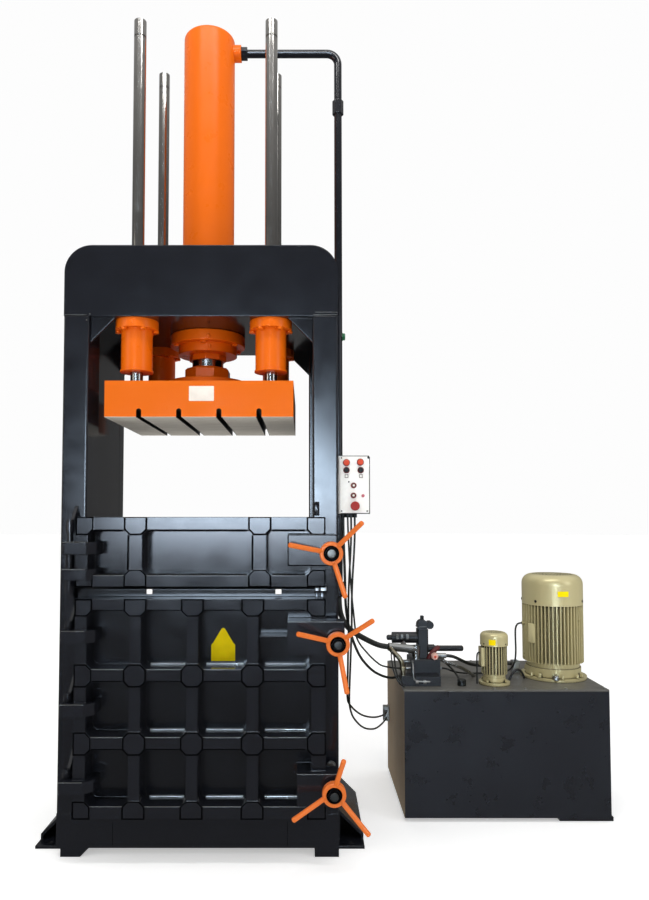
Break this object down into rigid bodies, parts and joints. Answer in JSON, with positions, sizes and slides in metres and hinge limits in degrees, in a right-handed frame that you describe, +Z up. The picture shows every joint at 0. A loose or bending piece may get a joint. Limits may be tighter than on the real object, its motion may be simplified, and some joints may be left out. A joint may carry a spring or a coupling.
{
  "type": "recycling baler",
  "caption": "Vertical hydraulic baler with a portal frame, guided pressing plate, ribbed doors with screw locks, a control box and a separate hydraulic power pack joined by hoses.",
  "frame": {"origin": "on the floor, midway between the four anchor holes of the press", "axes": "+Z up, +Y towards the rear of the press, +X to the right seen from the front, towards the power pack"},
  "size_m": [2.632, 1.3258, 3.82],
  "materials": {
    "frame_paint": "satin",
    "floor_steel": "matt",
    "orange_paint": "gloss",
    "wheel_paint": "gloss",
    "door_paint": "satin",
    "chrome_rod": "polished",
    "pin_steel": "satin",
    "box_paint": "satin",
    "black_plastic": "satin",
    "red_plastic": "gloss",
    "pale_plastic": "gloss",
    "tank_paint": "satin",
    "motor_paint": "satin",
    "valve_black": "satin",
    "pipe_black": "satin",
    "fitting_steel": "satin",
    "hose_rubber": "matt"
  },
  "bodies": {
    "frame": {"base": "frame_paint", "button_bezels": "black_plastic", "cap_screws": "orange_paint", "chamber_floor": "floor_steel", "control_box": "box_paint", "crown": "frame_paint", "cylinder_barrel": "orange_paint", "cylinder_flanges": "orange_paint", "directional_valve": "valve_black", "fan_covers": "motor_paint", "front_columns": "frame_paint", "gland_nut": "orange_paint", "guide_sleeves": "orange_paint", "hinge_ears": "frame_paint", "hinge_pins": "pin_steel", "hose_fittings": "fitting_steel", "keepers": "pin_steel", "lamp": "red_plastic", "large_motor": "motor_paint", "main_hose": "hose_rubber", "motor_cable": "hose_rubber", "motor_hose": "hose_rubber", "pilot_cable": "hose_rubber", "pressure_pipe": "pipe_black", "rear_columns": "frame_paint", "rear_wall": "frame_paint", "side_feet": "frame_paint", "side_panels": "frame_paint", "small_motor": "motor_paint", "tank": "tank_paint", "tank_cable_lower": "hose_rubber", "tank_cable_upper": "hose_rubber", "tank_lid": "tank_paint", "valve_block": "valve_black", "valve_cable": "hose_rubber"},
    "press_head": {"ram": "chrome_rod", "ram_clamp": "orange_paint", "platen": "orange_paint", "guide_rods": "chrome_rod"},
    "upper_door_body": {"upper_door": "door_paint"},
    "lower_door_body": {"lower_door": "door_paint"},
    "upper_handwheel": {"upper_wheel": "wheel_paint", "upper_spindle": "pin_steel"},
    "upper_lock_bolt": {"upper_bolt": "pin_steel"},
    "middle_handwheel": {"middle_wheel": "wheel_paint", "middle_spindle": "pin_steel"},
    "middle_lock_bolt": {"middle_bolt": "pin_steel"},
    "lower_handwheel": {"lower_wheel": "wheel_paint", "lower_spindle": "pin_steel"},
    "lower_lock_bolt": {"lower_bolt": "pin_steel"},
    "left_red_button": {"red_button_left": "red_plastic"},
    "right_red_button": {"red_button_right": "red_plastic"},
    "upper_ring_button": {"ring_button_upper": "pale_plastic"},
    "lower_ring_button": {"ring_button_lower": "pale_plastic"},
    "emergency_stop": {"stop_button": "red_plastic"},
    "left_selector": {"selector_left": "black_plastic"},
    "right_selector": {"selector_right": "black_plastic"},
    "tank_filler_cap": {"filler_cap": "black_plastic"}
  },
  "joints": [
    {"name": "press_stroke", "type": "slide", "parent": "frame", "child": "press_head", "axis": [0, 0, -1], "range_m": [0, 1]},
    {"name": "upper_door_swing", "type": "hinge", "parent": "frame", "child": "upper_door_body", "pos_m": [-0.5305, -0.455, 1.29], "axis": [0, 0, 1], "range_deg": [-135, 0]},
    {"name": "lower_door_swing", "type": "hinge", "parent": "frame", "child": "lower_door_body", "pos_m": [-0.5305, -0.455, 0.65], "axis": [0, 0, 1], "range_deg": [-135, 0]},
    {"name": "upper_wheel_turn", "type": "hinge", "parent": "upper_door_body", "child": "upper_handwheel", "pos_m": [0.562, -0.57, 1.291], "axis": [0, 1, 0], "range_deg": [0, 1575]},
    {"name": "upper_bolt_slide", "type": "slide", "parent": "upper_door_body", "child": "upper_lock_bolt", "axis": [0, 1, 0], "range_m": [0, 0.0352]},
    {"name": "middle_wheel_turn", "type": "hinge", "parent": "lower_door_body", "child": "middle_handwheel", "pos_m": [0.588, -0.57, 0.928], "axis": [0, 1, 0], "range_deg": [0, 1575]},
    {"name": "middle_bolt_slide", "type": "slide", "parent": "lower_door_body", "child": "middle_lock_bolt", "axis": [0, 1, 0], "range_m": [0, 0.0352]},
    {"name": "lower_wheel_turn", "type": "hinge", "parent": "lower_door_body", "child": "lower_handwheel", "pos_m": [0.572, -0.57, 0.336], "axis": [0, 1, 0], "range_deg": [0, 1575]},
    {"name": "lower_bolt_slide", "type": "slide", "parent": "lower_door_body", "child": "lower_lock_bolt", "axis": [0, 1, 0], "range_m": [0, 0.0352]},
    {"name": "left_red_push", "type": "slide", "parent": "frame", "child": "left_red_button", "axis": [0, 1, 0], "range_m": [0, 0.004], "stiffness_N_per_m": 800},
    {"name": "right_red_push", "type": "slide", "parent": "frame", "child": "right_red_button", "axis": [0, 1, 0], "range_m": [0, 0.004], "stiffness_N_per_m": 800},
    {"name": "upper_ring_push", "type": "slide", "parent": "frame", "child": "upper_ring_button", "axis": [0, 1, 0], "range_m": [0, 0.004], "stiffness_N_per_m": 800},
    {"name": "lower_ring_push", "type": "slide", "parent": "frame", "child": "lower_ring_button", "axis": [0, 1, 0], "range_m": [0, 0.004], "stiffness_N_per_m": 800},
    {"name": "emergency_stop_push", "type": "slide", "parent": "frame", "child": "emergency_stop", "axis": [0, 1, 0], "range_m": [0, 0.006], "stiffness_N_per_m": 1200},
    {"name": "left_selector_turn", "type": "hinge", "parent": "frame", "child": "left_selector", "pos_m": [0.6375, -0.34, 1.643], "axis": [0, -1, 0], "range_deg": [-45, 45]},
    {"name": "right_selector_turn", "type": "hinge", "parent": "frame", "child": "right_selector", "pos_m": [0.7, -0.34, 1.643], "axis": [0, -1, 0], "range_deg": [-45, 45]},
    {"name": "filler_cap_turn", "type": "hinge", "parent": "frame", "child": "tank_filler_cap", "pos_m": [1.22, 0.048, 0.63], "axis": [0, 0, 1], "range_deg": [0, 90]}
  ],
  "couplings": [
    {"joint": "upper_bolt_slide", "follows": "upper_wheel_turn", "m_per_rad": 0.0012732},
    {"joint": "middle_bolt_slide", "follows": "middle_wheel_turn", "m_per_rad": 0.0012732},
    {"joint": "lower_bolt_slide", "follows": "lower_wheel_turn", "m_per_rad": 0.0012732}
  ]
}
